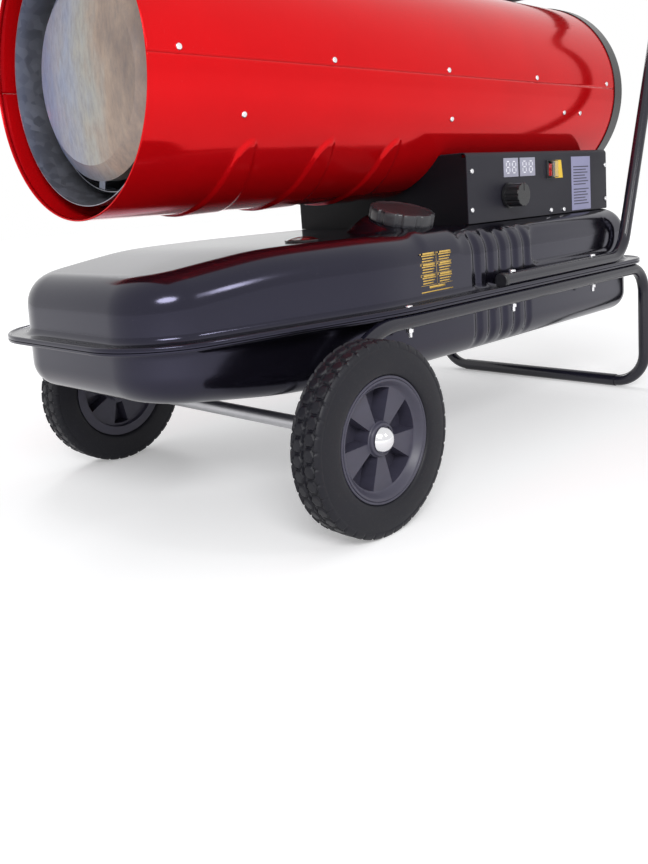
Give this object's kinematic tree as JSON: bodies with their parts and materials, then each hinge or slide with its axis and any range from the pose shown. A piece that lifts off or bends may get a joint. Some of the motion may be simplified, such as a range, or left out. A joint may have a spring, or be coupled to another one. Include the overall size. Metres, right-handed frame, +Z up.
{
  "type": "forced air heater",
  "caption": "Portable forced air heater: a red barrel burner on a black fuel tank, with a tube frame, wheels, push handle, control panel, filler cap and fuel gauge.",
  "frame": {"origin": "on the floor, under the middle of the heater's bounding box", "axes": "+X towards the side with the controls, +Y towards the push handle at the rear, so that the hot air leaves towards -Y, +Z up"},
  "size_m": [0.6646, 1.2824, 0.866],
  "materials": {
    "tank_paint": "gloss black stove enamel",
    "cap_plastic": "satin black moulded plastic",
    "black_rubber": "matt black rubber",
    "clear_plastic": "clear moulded plastic",
    "needle_red": "red",
    "float_white": "white moulded plastic",
    "frame_paint": "gloss black powder coat",
    "zinc_steel": "bright zinc plate",
    "chrome": "bright chrome plate",
    "tyre_rubber": "moulded black rubber",
    "rim_plastic": "moulded black plastic",
    "bush_plastic": "natural nylon",
    "box_paint": "fine matt black powder coat",
    "display_grey": "pale grey display windows",
    "switch_red": "gloss red",
    "thermostat_steel": "plain steel",
    "plate_film": "pale printed film, left blank",
    "board_green": "green circuit board",
    "transformer_resin": "dark potting resin",
    "barrel_red": "gloss red stove enamel",
    "galvanised": "spangled galvanised sheet",
    "hot_steel": "bare steel tinted by heat",
    "brass": "turned brass",
    "ceramic": "glazed white ceramic",
    "motor_paint": "dark grey enamel",
    "cast_aluminium": "cast and machined aluminium",
    "carbon": "grey carbon",
    "wire_sleeve": "silicone insulation"
  },
  "bodies": {
    "heater": {"tank_lower_shell": "tank_paint", "tank_upper_shell": "tank_paint", "filler_neck": "tank_paint", "filler_strainer": "tank_paint", "gauge_body": "cap_plastic", "gauge_lens": "clear_plastic", "frame_tube_right": "frame_paint", "frame_tube_left": "frame_paint", "stand_cross_tube": "frame_paint", "handle_tube_right": "frame_paint", "handle_tube_left": "frame_paint", "handle_cross_bar": "frame_paint", "handle_grip": "black_rubber", "handle_end_caps": "cap_plastic", "frame_fasteners": "zinc_steel", "axle": "zinc_steel", "axle_spacers": "zinc_steel", "hub_caps": "chrome", "saddle_box": "box_paint", "control_panel": "box_paint", "side_panel": "box_paint", "housing_screws": "zinc_steel", "display_modules": "display_grey", "switch_housing": "cap_plastic", "switch_cover": "clear_plastic", "thermostat_body": "thermostat_steel", "data_plate": "plate_film", "control_board": "board_green", "ignition_transformer": "transformer_resin", "power_inlet": "cap_plastic", "barrel_lower_shell": "barrel_red", "barrel_upper_shell": "barrel_red", "rear_guard": "barrel_red", "liner": "galvanised", "combustion_chamber": "hot_steel", "deflector": "hot_steel", "burner_head": "hot_steel", "nozzle": "brass", "electrodes": "ceramic", "motor": "motor_paint", "motor_bracket": "hot_steel", "pump_body": "cast_aluminium", "filter_cover": "cast_aluminium", "burner_lines": "black_rubber", "wiring": "wire_sleeve"},
    "wheel_right": {"tyre_right": "tyre_rubber", "rim_right": "rim_plastic", "bushes_right": "bush_plastic"},
    "wheel_left": {"tyre_left": "tyre_rubber", "rim_left": "rim_plastic", "bushes_left": "bush_plastic"},
    "rotor": {"motor_shaft": "zinc_steel", "fan": "cast_aluminium", "pump_rotor": "carbon"},
    "cap_seal": {"filler_gasket": "black_rubber"},
    "cap": {"filler_cap": "cap_plastic"},
    "knob": {"thermostat_knob": "cap_plastic"},
    "rocker": {"switch_rocker": "switch_red"},
    "float": {"gauge_float": "float_white"},
    "needle": {"gauge_needle": "needle_red"}
  },
  "joints": [
    {"name": "wheel_right_spin", "type": "hinge", "parent": "heater", "child": "wheel_right", "pos_m": [0.3025, -0.37718, 0.125], "axis": [1, 0, 0], "continuous": true},
    {"name": "wheel_left_spin", "type": "hinge", "parent": "heater", "child": "wheel_left", "pos_m": [-0.3025, -0.37718, 0.125], "axis": [1, 0, 0], "continuous": true},
    {"name": "fan_spin", "type": "hinge", "parent": "heater", "child": "rotor", "pos_m": [0, 0.27782, 0.602], "axis": [0, 1, 0], "continuous": true},
    {"name": "filler_cap_lift", "type": "slide", "parent": "heater", "child": "cap_seal", "axis": [0.2756, 0, 0.9613], "range_m": [0, 0.04]},
    {"name": "filler_cap_turn", "type": "hinge", "parent": "cap_seal", "child": "cap", "pos_m": [0.1489, -0.11618, 0.382], "axis": [0.2756, 0, 0.9613], "range_deg": [0, 90]},
    {"name": "thermostat_knob_turn", "type": "hinge", "parent": "heater", "child": "knob", "pos_m": [0.194, 0.11482, 0.41], "axis": [1, 0, 0], "range_deg": [-270, 0]},
    {"name": "switch_rocker_tip", "type": "hinge", "parent": "heater", "child": "rocker", "pos_m": [0.189, 0.25432, 0.45], "axis": [0, 1, 0], "range_deg": [-20, 0]},
    {"name": "fuel_float_swing", "type": "hinge", "parent": "heater", "child": "float", "pos_m": [0.13, -0.31118, 0.341], "axis": [1, 0, 0], "range_deg": [0, 60]},
    {"name": "fuel_needle_turn", "type": "hinge", "parent": "heater", "child": "needle", "pos_m": [0.13, -0.31118, 0.371], "axis": [0, 0, 1], "range_deg": [0, 90]}
  ],
  "couplings": [
    {"joint": "fuel_needle_turn", "follows": "fuel_float_swing", "ratio": 1.5}
  ]
}
